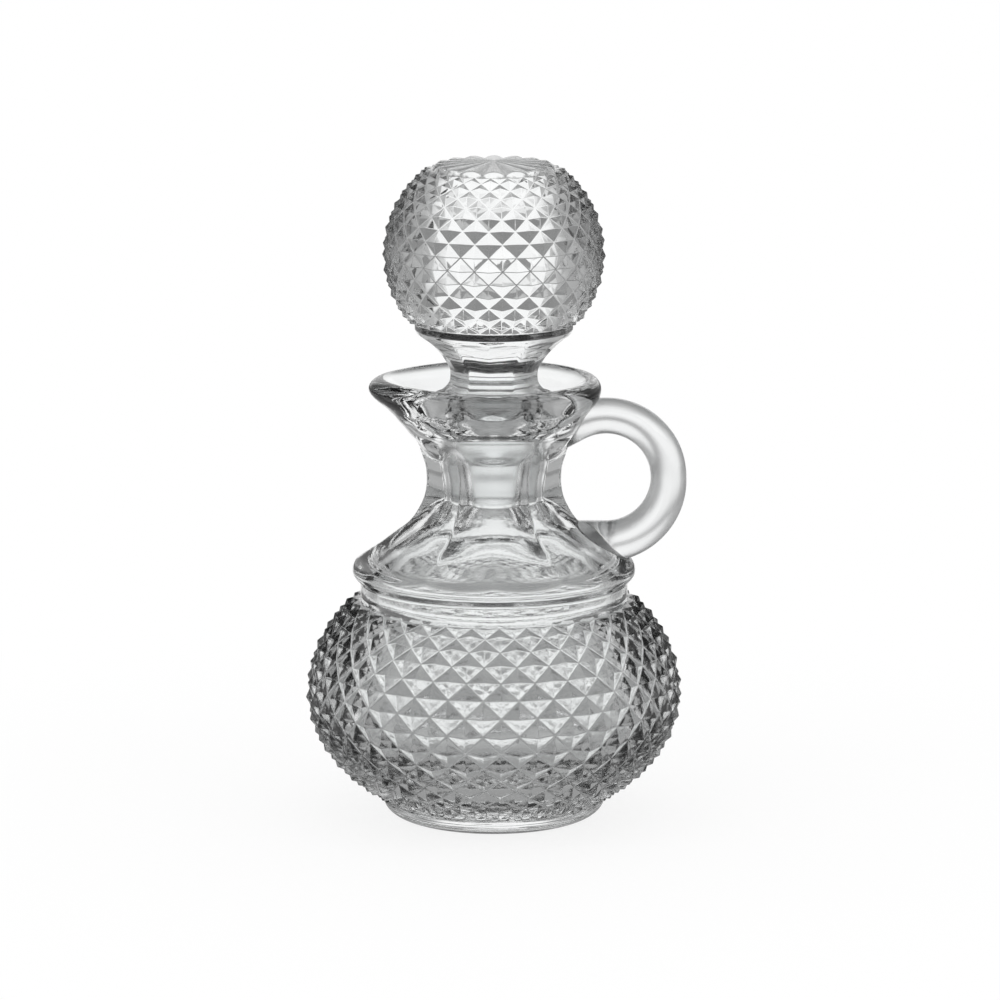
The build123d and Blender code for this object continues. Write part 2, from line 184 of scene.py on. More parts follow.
class StageSettings(bpy.types.PropertyGroup):
    camera_distance: length("Camera distance", "Distance from the camera to the cruet", 1500.0)
    camera_elevation: angle("Camera elevation", "Angle at which the camera looks down", 11.5)
    aim_height: length("Aim height", "Height that the camera looks at", 79.5)
    aim_side: length("Aim side", "Distance beside the axis that the camera looks at", 1.5)
    focal_length: number("Focal length", "Lens of the camera", 218.0, "CAMERA")
    floor_radius: length("Floor radius", "Radius of the floor", 6000.0)
    lamp_power: number("Lamp power", "Power of each soft lamp", 1.0, "POWER")
    lamp_size: length("Lamp size", "Side of each soft lamp", 500.0)
    # Through glass the floor shows painted tones instead of its own lit colour. Near the cruet there is
    # painted shade: a grey glow in place of the shadow there. Further out it is white, and beyond that a
    # darker glow runs out towards the room.
    table_radius: length("Table radius", "Distance at which the table's grey begins to turn white", 100.0)
    table_edge: length("Table edge", "Distance at which the floor is as light as the backdrop", 220.0)
    table_end: length("Table end", "Distance at which the table's white begins to darken", 420.0)
    room_start: length("Room start", "Distance at which the floor is as dark as the room", 800.0)
    room_tone: share("Room tone", "Brightness of the floor between the table and the panels", 0.25)
    table_tone: share("Table tone", "Brightness of the table near the cruet, as the glass shows it", 0.33)
    gap_tone: share("Gap tone", "Brightness of the gaps between the four white panels", 0.42)
    ceiling_tone: share("Ceiling tone", "Brightness of the ceiling over the panels", 0.12)
    overhead_tone: share("Overhead tone", "Brightness of the panel straight overhead", 1.0)
    floor_glow: share("Floor glow", "Share of plain white in the floor near the cruet, for the camera", 0.85)


# Shares of the way from one corner of an outline to the next, and of the spout where there is a third one
ROLL_SHARES = [(0.0, 0.0), (0.2, 0.02), (0.6, 0.16), (0.9, 0.3), (1.0, 0.46), (0.8, 0.75), (0.37, 1.0)]
SHOULDER_RIDGE_SHARES = [
    (1.27, -0.115), (1.12, -0.05), (1.0, 0.0), (0.843, 0.1), (0.656, 0.204),
    (0.475, 0.323), (0.242, 0.473), (0.114, 0.627), (0.026, 0.8),
]
NECK_RIDGE_SHARES = [
    (0.0, 0.0), (0.17, 0.407), (0.56, 0.7), (1.0, 1.0), (1.93, 1.267), (3.3, 1.43), (5.2, 1.535),
]
MOUTH_OUTSIDE_SHARES = [
    (0.0, -0.15, 0.0), (0.0, 0.0, 0.03), (0.117, 0.143, 0.15), (0.39, 0.351, 0.33),
    (0.714, 0.56, 0.5), (0.935, 0.7, 0.77), (1.0, 0.82, 1.0), (0.93, 0.93, 0.96), (0.78, 0.985, 0.88),
    (0.64, 1.0, 0.85),
]
MOUTH_INSIDE_SHARES = [
    (1.06, 0.985, 0.82), (0.98, 0.9, 0.74), (0.808, 0.65, 0.41), (0.512, 0.386, 0.14), (0.216, 0.13, 0.02),
    (0.04, 0.01, 0.0), (0.0, -0.06, 0.0),
]
SHOULDER_INSIDE_SHARES = [
    (0.0, 0.0), (0.11, 0.09), (0.26, 0.2), (0.45, 0.335),
    (0.66, 0.49), (0.856, 0.645), (0.97, 0.81), (1.0, 1.0),
]
# Shares of the turn from the belly's widest part to its top, where the rounded throat runs into the belly
THROAT_BEND_SHARES = (0.86, 0.66)
FLANGE_UNDERSIDE_SHARES = [(0.0, 0.0), (0.33, 0.35), (0.85, 0.68), (1.0, 1.0)]
STEM_LOWER_SHARES = [(0.72, -0.04), (0.4, 0.18), (0.19, 0.43), (0.03, 0.73)]
STEM_UPPER_SHARES = [
    (0.0, 0.0), (0.02, 0.17), (0.08, 0.27), (0.19, 0.415), (0.33, 0.557),
    (0.51, 0.71), (0.71, 0.85), (0.96, 0.99), (1.27, 1.09), (1.6, 1.15),
]
FOOT_HOLLOW_SHARES = [(0.25, 1.0), (0.45, 1.0), (0.66, 0.97), (0.75, 0.75), (0.93, 0.14), (1.0, 0.0)]
# Shares of the climb to the neck's waist over which a pair of facets closes, and of the climb from there to
# the mouth over which it opens again. The last one is how far it is still closed at the mouth
PAIR_CLOSING_SHARE = 0.35
PAIR_OPENING_SHARE = 0.35
PAIR_END_SHARE = 0.1
# Sines between which the white panels turn into the gaps beside them and into the ceiling over them, and the
# ceiling into the panel straight overhead
GAP_SHARES = (0.56, 0.88)
CEILING_SHARES = (0.47, 0.59)
OVERHEAD_SHARES = (0.86, 0.94)

# Distance from one ring of points to the next along each outline
SPACING = {
    "foot hollow": 1.2 * MM, "foot edge": 0.8 * MM, "foot side": 0.9 * MM, "band": 0.8 * MM,
    "roll": 0.35 * MM, "neck": 0.7 * MM, "mouth": 0.55 * MM, "funnel": 0.8 * MM, "seat": 1.6 * MM,
    "shoulder inside": 1.0 * MM, "belly top": 1.2 * MM, "belly": 1.3 * MM, "plug end": 2.0 * MM,
    "chamfer": 0.2 * MM, "plug": 1.6 * MM, "flange underside": 0.7 * MM, "flange edge": 0.15 * MM,
    "stem": 0.45 * MM,
}
# Points in a ring, points worked out for each chosen one of a smooth line, and rounds in which the turn of a
# row of diamonds is found
AROUND = 240
CURVE_POINTS = 60
LATITUDE_STEPS = 10
FLOOR_SIDES = 96
SPOUT_SHARPNESS = 13
EDGE_SOFTNESS = 0.22 * MM
WAVE_WIDTH = 2.6 * MM
# How far the glass stands over the ridges at the neck's top before its facets are cut, and a radius so wide
# that nothing is cut
NECK_ALLOWANCE = 1.5 * MM
NO_CUT = 1.0
# Least distances between two levels where the neck and the stem meet what is under and over them
NECK_GAPS = (0.2 * MM, 0.3 * MM)
STEM_GAP = 0.1 * MM
BELLY_END_ANGLE = -88
FLANGE_EDGE_ANGLES = (-40, 80)
# The handle's points around and its sections along the loop, the rings of a root's end face and of the way
# from there to the loop, and the steps by which a root is pushed to the bottle
HANDLE_AROUND = 40
HANDLE_SECTIONS = 72
ROOT_FACE_SHARES = np.linspace(0.1, 1, 10)
ROOT_RUN_SHARES = np.linspace(0.12, 0.88, 6)
ROOT_TRAVEL = np.arange(0, 24, 0.05) * MM
# Where the plug's end face begins, the height and number of the band's levels under the ball, and the
# climb and the widening with which the stem runs into the band
PLUG_MIDDLE_SHARE = 0.2
BAND_HEIGHT = 2.0 * MM
BAND_LEVELS = 6
BAND_CLIMB = 1.2 * MM
BAND_WIDENING = 0.6 * MM
# A petal's points across, the shares of its length where its rows begin and where its tip begins, its rows
# up to there, the turns of the rows round its tip, how round it is across, and how far the crown falls to
# the tips and is dented in the middle
PETAL_ACROSS = 13
PETAL_START = 0.04
PETAL_TIP = 0.9
PETAL_ROWS = 10
TIP_ANGLES = (18, 36, 54, 72, 90)
PETAL_ROUNDNESS = 0.96
CROWN_FALL = 0.8 * MM
CROWN_DENT = 0.05 * MM
# Distances at which points are welded, the first two as shares of a tile
TILE_WELD = 0.001
CUT_WELD = 1e-6
RELIEF_WELD = 0.01 * MM
PETAL_WELD = 0.005 * MM
# Finishes that the mesh carries, and how much fine detail each layer of the unevenness has
FINISHES = ("pressed", "inside", "ground")
SURFACE_LAYERS = {"Ripple": 1.5, "Grain": 3.0, "Mottle": 2.0}
GLASS_IOR = 1.5
FLOOR_SHADE = (0.92, 0.92, 0.92, 1)
FLOOR_ROUGHNESS = 0.9
LAMP_PLACES = {"left lamp": (-0.7, -0.5, 0.7), "right lamp": (0.7, -0.5, 0.7)}
LAMP_AIM = (0, 0, 0.08)
CAMERA_CLIP = (0.05, 20)


def stops(run, step):
    """How many points, about a step apart, mark out a run."""
    return max(2, round(run / step) + 1)


def smooth_line(points, step):
    """Evenly spaced points on a smooth curve through a few chosen ones. Further columns go along."""
    points = np.array(points, float)
    gaps = np.linalg.norm(np.diff(points[:, :2], axis=0), axis=1)
    places = np.concatenate([[0], np.cumsum(gaps)])
    size = len(points)
    matrix, right = np.eye(size), np.zeros_like(points)
    for i in range(1, size - 1):
        matrix[i, i - 1:i + 2] = gaps[i - 1], 2 * (gaps[i - 1] + gaps[i]), gaps[i]
        right[i] = 6 * ((points[i + 1] - points[i]) / gaps[i] - (points[i] - points[i - 1]) / gaps[i - 1])
    bend = np.linalg.solve(matrix, right)
    fine = np.linspace(0, places[-1], CURVE_POINTS * size)
    i = np.clip(np.searchsorted(places, fine, side="right") - 1, 0, size - 2)
    before = ((places[i + 1] - fine) / gaps[i])[:, None]
    after = 1 - before
    curve = before * points[i] + after * points[i + 1]
    curve += ((before**3 - before) * bend[i] + (after**3 - after) * bend[i + 1]) * (gaps[i] ** 2)[:, None] / 6
    walked = np.concatenate([[0], np.cumsum(np.linalg.norm(np.diff(curve[:, :2], axis=0), axis=1))])
    places = np.linspace(0, walked[-1], stops(walked[-1], step))
    return np.column_stack([np.interp(places, walked, column) for column in curve.T])


def between(start, end, shares):
    """Outline points given as shares of the way from one corner to another."""
    wide, high = end[0] - start[0], end[1] - start[1]
    return np.array([(start[0] + wide * out, start[1] + high * up, *more) for out, up, *more in shares])


def arc(middle, radius, reach, start, end, step):
    """Points on an ellipse, from one angle to another."""
    run = abs(radians(end - start)) * max(radius, reach)
    turns = np.radians(np.linspace(start, end, stops(run, step)))
    return np.column_stack([middle[0] + radius * np.cos(turns), middle[1] + reach * np.sin(turns)])


def straight(start, end, step):
    return np.linspace(start, end, stops(np.hypot(end[0] - start[0], end[1] - start[1]), step))


def soft_least(a, b):
    """The smaller of two radii, rounded where they are alike."""
    return (a + b - np.sqrt((a - b) ** 2 + EDGE_SOFTNESS**2)) / 2


def ease(parts):
    """Shares from 0 to 1 with a gentle start and end."""
    parts = np.clip(parts, 0, 1)
    return parts * parts * (3 - 2 * parts)


def circle_turns(count=AROUND):
    return np.linspace(0, 2 * pi, count, endpoint=False)


def ring(turns, radius, height):
    """Points round the axis."""
    return np.column_stack([radius * np.sin(turns), -radius * np.cos(turns), np.full(len(turns), height)])


def placed(name, data):
    """A new object in the scene."""
    holder = bpy.data.objects.new(name, data)
    bpy.context.scene.collection.objects.link(holder)
    return holder


class Skin:
    """Rings of points that are joined one to the next into a closed surface, which faces outwards if the
    rings run from the middle of the underside to the outside and up. Each point keeps its finish."""

    def __init__(self, pole):
        self.points, self.faces, self.edge = [tuple(pole)], [], [0]
        self.finishes = ["polished"]

    def grow(self, points, finish="polished"):
        """Adds one ring, or a last single point."""
        first = len(self.points)
        self.points.extend(map(tuple, points))
        self.finishes.extend([finish] * len(points))
        self.join(list(range(first, len(self.points))))

    def graft(self, mesh, closing=False):
        """Adds a pressed mesh after the last ring, or over it if it closes the skin, and deletes the mesh."""
        bm = bmesh.new()
        bm.from_mesh(mesh)
        first = len(self.points)
        self.points.extend(tuple(v.co) for v in bm.verts)
        self.finishes.extend(["pressed"] * len(bm.verts))
        self.faces.extend([v.index + first for v in face.verts] for face in bm.faces)
        rim = [v for v in bm.verts if v.is_boundary]
        middle = sum(v.co.z for v in rim) / len(rim)
        lower = [v.index + first for v in rim if closing or v.co.z < middle]
        upper = [v.index + first for v in rim if not closing and v.co.z > middle]
        bm.free()
        bpy.data.meshes.remove(mesh)
        self.join(self.in_order(lower))
        self.edge = self.in_order(upper)

    def turn(self, index):
        x, y, _ = self.points[index]
        return atan2(x, -y) % (2 * pi)

    def in_order(self, indices):
        return sorted(indices, key=self.turn)

    def join(self, new):
        old = self.edge
        if len(old) == len(new):
            for i in range(len(old)):
                j = (i + 1) % len(old)
                self.faces.append([old[i], old[j], new[j], new[i]])
        elif len(old) == 1:
            self.faces.extend([old[0], new[(i + 1) % len(new)], new[i]] for i in range(len(new)))
        elif len(new) == 1:
            self.faces.extend([old[i], old[(i + 1) % len(old)], new[0]] for i in range(len(old)))
        else:
            self.stitch(old, new)
        self.edge = new

    def stitch(self, old, new):
        """Joins rings of different numbers of points by their angles."""
        old_turns = [self.turn(i) for i in old] + [self.turn(old[0]) + 2 * pi]
        new_turns = [self.turn(i) for i in new] + [self.turn(new[0]) + 2 * pi]
        i = j = 0
        while i < len(old) or j < len(new):
            if j == len(new) or (i < len(old) and old_turns[i + 1] <= new_turns[j + 1]):
                self.faces.append([old[i], old[(i + 1) % len(old)], new[j % len(new)]])
                i += 1
            else:
                self.faces.append([old[i % len(old)], new[(j + 1) % len(new)], new[j]])
                j += 1

    def piece(self, name, material):
        """Makes an object of the skin, shaded smooth, with flat faces kept flat."""
        mesh = bpy.data.meshes.new(name)
        mesh.from_pydata(self.points, [], self.faces)
        for finish in FINISHES:
            values = [float(own == finish) for own in self.finishes]
            mesh.attributes.new(finish, "FLOAT", "POINT").data.foreach_set("value", values)
        mesh.polygons.foreach_set("use_smooth", [True] * len(mesh.polygons))
        mesh.materials.append(material)
        mesh.validate()
        piece = placed(name, mesh)
        piece.modifiers.new("Flat facets", "WEIGHTED_NORMAL")
        return piece


class Term:
    """A number inside a node tree, so that its arithmetic is written as plain formulas."""

    def __init__(self, tree, socket):
        self.tree, self.socket = tree, socket

    def math(self, operation, *others):
        node = self.tree.nodes.new("ShaderNodeMath")
        node.operation = operation
        for slot, value in zip(node.inputs, (self, *others)):
            feed(self.tree, slot, value)
        return Term(self.tree, node.outputs[0])

    def __add__(self, other):
        return self.math("ADD", other)

    def __sub__(self, other):
        return self.math("SUBTRACT", other)

    def __mul__(self, other):
        return self.math("MULTIPLY", other)

    def __truediv__(self, other):
        return self.math("DIVIDE", other)

    def from_one(self):
        """One less this number."""
        return self.math("MULTIPLY_ADD", -1.0, 1.0)

    def __getattr__(self, name):
        """Any other function of the Math node, such as sine() or maximum()."""
        return lambda *others: self.math(name.upper(), *others)


def feed(tree, slot, value):
    if isinstance(value, Term):
        tree.links.new(value.socket, slot)
    else:
        slot.default_value = value


def area_sine(term):
    """Inverse of the hyperbolic sine."""
    return (term + (term * term + 1.0).sqrt()).logarithm(e)


def area_tangent(term):
    """Inverse of the hyperbolic tangent."""
    return ((term + 1.0) / term.from_one()).logarithm(e) * 0.5


def stretch(radius, reach):
    """Eccentricity of a curve that is wider than it is high."""
    flat = reach / radius
    return (flat * flat).from_one().maximum(0.0).sqrt()


def isometric(radius, reach, climb):
    """How far a height is up a curve, counted so that a small square stays a square all the way."""
    sine = climb / reach
    slope = sine / (sine * sine).from_one().sqrt() * radius / reach
    turn_sine = slope / (slope * slope + 1.0).sqrt()
    bulge = stretch(radius, reach)
    return area_sine(slope) - bulge * area_tangent(bulge * turn_sine)


def row_ring(sizes, row):
    """Radius and height of a row of groove crossings, and the direction in which the glass faces there."""
    radius, upper, lower = sizes["Radius"], sizes["Upper Reach"], sizes["Lower Reach"]
    bottom = isometric(radius, lower, sizes["Middle"] - sizes["Bottom"]) * -1.0
    top = isometric(radius, upper, sizes["Top"] - sizes["Middle"])
    level = bottom + (top - bottom) * row / sizes["Rows"]
    reach = lower + (upper - lower) * level.greater_than(0.0)
    bulge = stretch(radius, reach)
    turn = level.sinh().arctangent()
    for _ in range(LATITUDE_STEPS):
        turn = (level + bulge * area_tangent(bulge * turn.sine())).sinh().arctangent()
    out, up = turn.cosine(), turn.sine()
    wide, high = radius * out, reach * up
    size = (wide * wide + high * high).sqrt()
    inner = row.minimum(sizes["Rows"] - row).minimum(1.0)
    return {
        "radius": wide * radius / size, "height": high * reach / size + sizes["Middle"],
        "out": (out - 1.0) * inner + 1.0, "up": up * inner,
    }


def new_tree(name, inputs):
    """A Geometry Nodes tree with named inputs, and those inputs as terms."""
    tree = bpy.data.node_groups.new(name, "GeometryNodeTree")
    tree.interface.new_socket(name="Geometry", in_out="INPUT", socket_type="NodeSocketGeometry")
    for label, kind in inputs.items():
        tree.interface.new_socket(name=label, in_out="INPUT", socket_type="NodeSocket" + kind)
    tree.interface.new_socket(name="Geometry", in_out="OUTPUT", socket_type="NodeSocketGeometry")
    source = tree.nodes.new("NodeGroupInput")
    return tree, {label: Term(tree, source.outputs[label]) for label in ["Geometry", *inputs]}


def add(tree, kind, settings=None, **inputs):
    """Adds a node, sets its options and feeds its inputs, whose names are written in lower case."""
    node = tree.nodes.new(kind)
    for option, value in (settings or {}).items():
        setattr(node, option, value)
    slots = {slot.name.lower().replace(" ", "_"): slot for slot in reversed(node.inputs)}
    for name, value in inputs.items():
        feed(tree, slots[name], value)
    return [Term(tree, socket) for socket in node.outputs]


def read(tree, kind, output):
    """One output of a new node, by its name."""
    return Term(tree, tree.nodes.new(kind).outputs[output])


def apart(tree, vector):
    return add(tree, "ShaderNodeSeparateXYZ", vector=vector)


def together(tree, x, y, z):
    return add(tree, "ShaderNodeCombineXYZ", x=x, y=y, z=z)[0]


def end_tree(tree, geometry, material):
    """Realizes what was repeated, gives it its material and hands it out."""
    whole = add(tree, "GeometryNodeRealizeInstances", geometry=geometry)[0]
    painted = add(tree, "GeometryNodeSetMaterial", geometry=whole, material=material)[0]
    add(tree, "NodeGroupOutput", geometry=painted)


def relief_tree():
    """Lays one tile over a curved side, again and again: crossing grooves with four-sided points between."""
    tree, sizes = new_tree("Diamond relief", {
        "Radius": "Float", "Middle": "Float", "Upper Reach": "Float", "Lower Reach": "Float",
        "Bottom": "Float", "Top": "Float", "Around": "Int", "Rows": "Int", "Rise": "Float", "Turn": "Float",
        "Material": "Material",
    })
    across = sizes["Around"] * 2.0
    sheet = add(
        tree, "GeometryNodeMeshGrid", size_x=across - 1.0, size_y=sizes["Rows"] - 1.0,
        vertices_x=across, vertices_y=sizes["Rows"],
    )[0]
    offset = together(tree, across / 2.0, sizes["Rows"] / 2.0, 0.0)
    cells = add(tree, "GeometryNodeSetPosition", geometry=sheet, offset=offset)[0]
    x, y, _ = apart(tree, add(tree, "GeometryNodeInputPosition")[0])
    odd = (x.floor() + y.floor()).modulo(2.0)
    turned_tile = together(tree, 0.0, 0.0, odd * (pi / 2))
    tiles = add(
        tree, "GeometryNodeInstanceOnPoints", points=cells, instance=sizes["Geometry"], rotation=turned_tile,
    )[0]
    flat = add(tree, "GeometryNodeRealizeInstances", geometry=tiles)[0]
    flat = add(tree, "GeometryNodeMergeByDistance", geometry=flat, distance=TILE_WELD)[0]

    column, row = x.floor().minimum(across - 1.0), y.floor().minimum(sizes["Rows"] - 1.0)
    odd = (column + row).modulo(2.0)
    along = x - column
    along = along + (along * -2.0 + 1.0) * odd
    up = y - row
    least, most = along.minimum(up), along.maximum(up)
    ahead, behind = (along - up).maximum(0.0), (up - along).maximum(0.0)
    low, high = row_ring(sizes, row), row_ring(sizes, row + 1.0)
    even = odd.from_one()
    corners = [
        (column, low, most.from_one() * even + ahead * odd, odd),
        (column + 1.0, low, ahead * even + most.from_one() * odd, even),
        (column, high, behind * even + least * odd, even),
        (column + 1.0, high, least * even + behind * odd, odd),
    ]
    parts = []
    for place, crossings, weight, raised in corners:
        turn = place * pi / sizes["Around"] + sizes["Turn"]
        lift = raised * sizes["Rise"]
        reach = (crossings["radius"] + lift * crossings["out"]) * weight
        level = (crossings["height"] + lift * crossings["up"]) * weight
        parts.append((reach * turn.sine(), reach * turn.cosine(), level))
    side, front, height = (a + b + c + d for a, b, c, d in zip(*parts))
    marks = add(tree, "GeometryNodeInputNamedAttribute", {"data_type": "FLOAT"}, name="rounding")[0]
    rounding = marks * sizes["Rise"]
    turn = x * pi / sizes["Around"] + sizes["Turn"]
    out = low["out"] + (high["out"] - low["out"]) * up
    climb = low["up"] + (high["up"] - low["up"]) * up
    side = side + turn.sine() * out * rounding
    front = front + turn.cosine() * out * rounding
    height = height + climb * rounding
    place = together(tree, side, front * -1.0, height)
    wrapped = add(tree, "GeometryNodeSetPosition", geometry=flat, position=place)[0]
    closed = add(tree, "GeometryNodeMergeByDistance", geometry=wrapped, distance=RELIEF_WELD)[0]
    end_tree(tree, closed, sizes["Material"])
    return tree


def petal_tree():
    """Repeats one petal around the axis and welds the petals together."""
    tree, sizes = new_tree("Petals around", {"Copies": "Int", "Material": "Material"})
    points = add(tree, "GeometryNodeMeshLine", count=sizes["Copies"])[0]
    middle = together(tree, 0.0, 0.0, 0.0)
    gathered = add(tree, "GeometryNodeSetPosition", geometry=points, position=middle)[0]
    place = add(tree, "GeometryNodeInputIndex")[0]
    spin = together(tree, 0.0, 0.0, place * (2 * pi) / sizes["Copies"])
    petals = add(
        tree, "GeometryNodeInstanceOnPoints", points=gathered, instance=sizes["Geometry"], rotation=spin
    )[0]
    flat = add(tree, "GeometryNodeRealizeInstances", geometry=petals)[0]
    welded = add(tree, "GeometryNodeMergeByDistance", geometry=flat, distance=PETAL_WELD)[0]
    end_tree(tree, welded, sizes["Material"])
    return tree


def grown(tree, mesh, values):
    """The plain mesh that a tree makes of a mesh, with its named inputs set."""
    seed = placed(mesh.name, mesh)
    modifier = seed.modifiers.new(tree.name, "NODES")
    modifier.node_group = tree
    for item in tree.interface.items_tree:
        if item.in_out == "INPUT" and item.name in values:
            modifier[item.identifier] = values[item.name]
    seed.update_tag()
    bpy.context.view_layer.update()
    evaluated = seed.evaluated_get(bpy.context.evaluated_depsgraph_get())
    made = bpy.data.meshes.new_from_object(evaluated)
    seed.modifiers.remove(modifier)
    bpy.data.objects.remove(seed)
    bpy.data.meshes.remove(mesh)
    return made


def rounded(distance, width):
    """A distance that levels off near zero, as a rounded edge does."""
    return distance if distance >= width else (distance**2 + width**2) / (2 * width)


def tile_mesh(ridge, groove):
    """A square tile with ridges along its sides and a groove across, cut where their rounding begins."""
    bm = bmesh.new()
    marks = [-0.5, -0.5 + ridge, 0.5 - ridge, 0.5]
    grid = [[bm.verts.new((x, y, 0)) for x in marks] for y in marks]
    for row, above in zip(grid, grid[1:]):
        for i in range(len(marks) - 1):
            bm.faces.new([row[i], row[i + 1], above[i + 1], above[i]])
    for shift in (-groove, 0, groove):
        whole = bm.verts[:] + bm.edges[:] + bm.faces[:]
        bmesh.ops.bisect_plane(bm, geom=whole, plane_co=(shift, 0, 0), plane_no=(1, -1, 0), dist=CUT_WELD)
    mesh = bpy.data.meshes.new("tile")
    layer = bm.verts.layers.float.new("rounding")
    for v in bm.verts:
        x, y = v.co.x + 0.5, v.co.y + 0.5
        least, most = min(x, y), max(x, y)
        lowered = 1 - rounded(1 - most, ridge) - rounded(least, ridge)
        v[layer] = rounded(max(lowered, 0), groove) - abs(x - y)
    bm.to_mesh(mesh)
    bm.free()
    return mesh


def neck_ridge(s):
    """Outline of the neck's ridges, from past the collar to past the underside of the mouth."""
    lower = between(
        (s.neck_radius, s.shoulder_height), (s.shoulder_radius, s.neck_waist), SHOULDER_RIDGE_SHARES
    )
    upper = between((s.neck_radius, s.neck_waist), (s.neck_top_radius, s.neck_top), NECK_RIDGE_SHARES)
    return smooth_line(np.vstack([lower, upper]), SPACING["neck"])


def cut_by_facets(radii, heights, turns, ridge, pairs, pair_angle):
    """Radii after pairs of flat facets are cut, where the ridge outline gives how deep each level is cut."""
    spread = 2 * pi / pairs
    away = np.abs((turns + spread / 2) % spread - spread / 2)
    near = np.cos(away - pair_angle)
    next_near = np.maximum(np.cos(away + pair_angle), np.cos(spread - pair_angle - away))
    panel = np.interp(heights, ridge[:, 1], ridge[:, 0], right=NO_CUT) * np.cos(spread / 2 - pair_angle)
    return soft_least(radii, soft_least(panel / near, panel / next_near))


def drawn_out(s, radius, pull, turns):
    """Radii of a level that is pulled out where the spout is, most at its tip and less to both sides."""
    return radius + (s.spout_reach - s.mouth_radius) * pull * ((1 - np.sin(turns)) / 2) ** SPOUT_SHARPNESS


def unpulled(points):
    """Outline points with no share of the spout."""
    return np.column_stack([points, np.zeros(len(points))])


def outside_line(s, top):
    """Levels of the bottle from the band to the top of the lip: radius, height and share of the spout."""
    roll = between((s.band_radius, s.band_top), (s.collar_radius, s.shoulder_height), ROLL_SHARES)
    mouth = between((s.neck_top_radius, s.neck_top), (s.mouth_radius, top), MOUTH_OUTSIDE_SHARES)
    roll, mouth = smooth_line(roll, SPACING["roll"]), smooth_line(mouth, SPACING["mouth"])
    foot, head = s.shoulder_height, mouth[0][1]
    climb = neck_ridge(s)[:, 1]
    climb = climb[(climb > foot + NECK_GAPS[0]) & (climb < head - NECK_GAPS[1])]
    blank = np.interp(climb, [foot, head], [s.shoulder_radius, mouth[0][0] + NECK_ALLOWANCE])
    band = straight((s.band_radius, s.diamonds_top), (s.band_radius, s.band_top), SPACING["band"])
    return np.vstack([unpulled(np.vstack([band, roll[1:], np.column_stack([blank, climb])])), mouth])


def outside_radius(s, line, heights, turns):
    """Radius of the bottle's outside at any height between the band and the lip."""
    rising = line[:np.argmax(line[:, 0] * (line[:, 1] > s.neck_top)) + 1]
    radius = np.interp(heights, rising[:, 1], rising[:, 0])
    pull = np.interp(heights, rising[:, 1], rising[:, 2])
    return neck_cut(s, drawn_out(s, radius, pull, turns), heights, turns)


def neck_cut(s, radii, heights, turns):
    """Radii after the neck's facets are cut. A pair of them is almost one flat panel round the waist, and
    opens towards both of its ends."""
    below = (heights - s.shoulder_height) / (s.neck_waist - s.shoulder_height) / PAIR_CLOSING_SHARE
    above = (s.neck_top - heights) / (s.neck_top - s.neck_waist) / PAIR_OPENING_SHARE + PAIR_END_SHARE
    wide = np.where(heights > s.neck_waist, s.top_pair_angle, s.pair_angle)
    pair_angle = wide + (s.waist_pair_angle - wide) * ease(np.minimum(below, above))
    return cut_by_facets(radii, heights, turns, neck_ridge(s), s.facet_pairs, pair_angle)


def relief(s, radius, bottom, middle, upper_reach, lower_reach, material):
    """A curved side covered with diamonds, open at both ends. The radius is that of the diamonds' points."""
    finish = bpy.context.scene.cruet_finish
    tree = bpy.data.node_groups.get("Diamond relief") or relief_tree()
    return grown(tree, tile_mesh(finish.ridge_softness, finish.groove_softness), {
        "Radius": radius - s.diamond_rise, "Middle": middle, "Upper Reach": upper_reach,
        "Lower Reach": lower_reach, "Bottom": bottom, "Top": s.diamonds_top, "Around": s.diamonds_around,
        "Rows": s.diamond_rows, "Rise": s.diamond_rise, "Turn": s.pattern_turn, "Material": material,
    })


def waves(points, height):
    """Slow waves on the inside of the glass, where it was never pressed against the mould. Their widths
    differ, so that they never line up."""
    x, y, z = (points / WAVE_WIDTH).T
    swell = np.sin(x + 0.7 * np.sin(z * 0.8)) * np.sin(y + 0.6 * np.sin(x * 0.9))
    swell += 0.6 * np.sin(z * 1.3 + 0.8 * y)
    out = points * (1, 1, 0)
    return points + out / np.linalg.norm(out, axis=1)[:, None] * (swell * height)[:, None]


def make_bottle(material):
    s, plug = bpy.context.scene.cruet_bottle, bpy.context.scene.cruet_stopper
    top, turns = BOTTLE_HIGH.z, circle_turns()
    skin = Skin((0, 0, s.foot_hollow_depth))
    inner_ring = s.foot_ring - s.foot_ring_width
    hollow = between((0, 0), (inner_ring, s.foot_hollow_depth), FOOT_HOLLOW_SHARES)
    edge_middle = (s.foot_ring, s.foot_edge)
    edge = arc(edge_middle, s.foot_radius - s.foot_ring, s.foot_edge, -90, 0, SPACING["foot edge"])
    side = straight((s.foot_radius, s.foot_edge), (s.foot_radius, s.foot_height), SPACING["foot side"])
    for radius, height in np.vstack([smooth_line(hollow, SPACING["foot hollow"]), edge, side[1:]]):
        skin.grow(ring(turns, radius, height))
    skin.graft(relief(
        s, BOTTLE_HIGH.y, s.foot_height, s.bulb_middle, s.bulb_upper_reach, s.bulb_lower_reach, material
    ))
    for radius, height, pull in outside_line(s, top):
        skin.grow(ring(turns, neck_cut(s, drawn_out(s, radius, pull, turns), height, turns), height))
    for radius, height, pull in inside_line(s, plug, top):
        points = ring(turns, drawn_out(s, radius, pull, turns), height)
        if height > plug.plug_top:
            skin.grow(points)
        elif height > STOPPER_LOW.z:
            skin.grow(points, "ground")
        else:
            skin.grow(waves(points, s.waviness), "inside")
    skin.grow([(0, 0, s.belly_floor)], "inside")
    return skin.piece("bottle_glass", material)


def seat_radius(plug, height):
    taper = (plug.plug_top_radius - plug.plug_radius) / (plug.plug_top - STOPPER_LOW.z)
    return plug.plug_radius + taper * (height - STOPPER_LOW.z) + plug.clearance


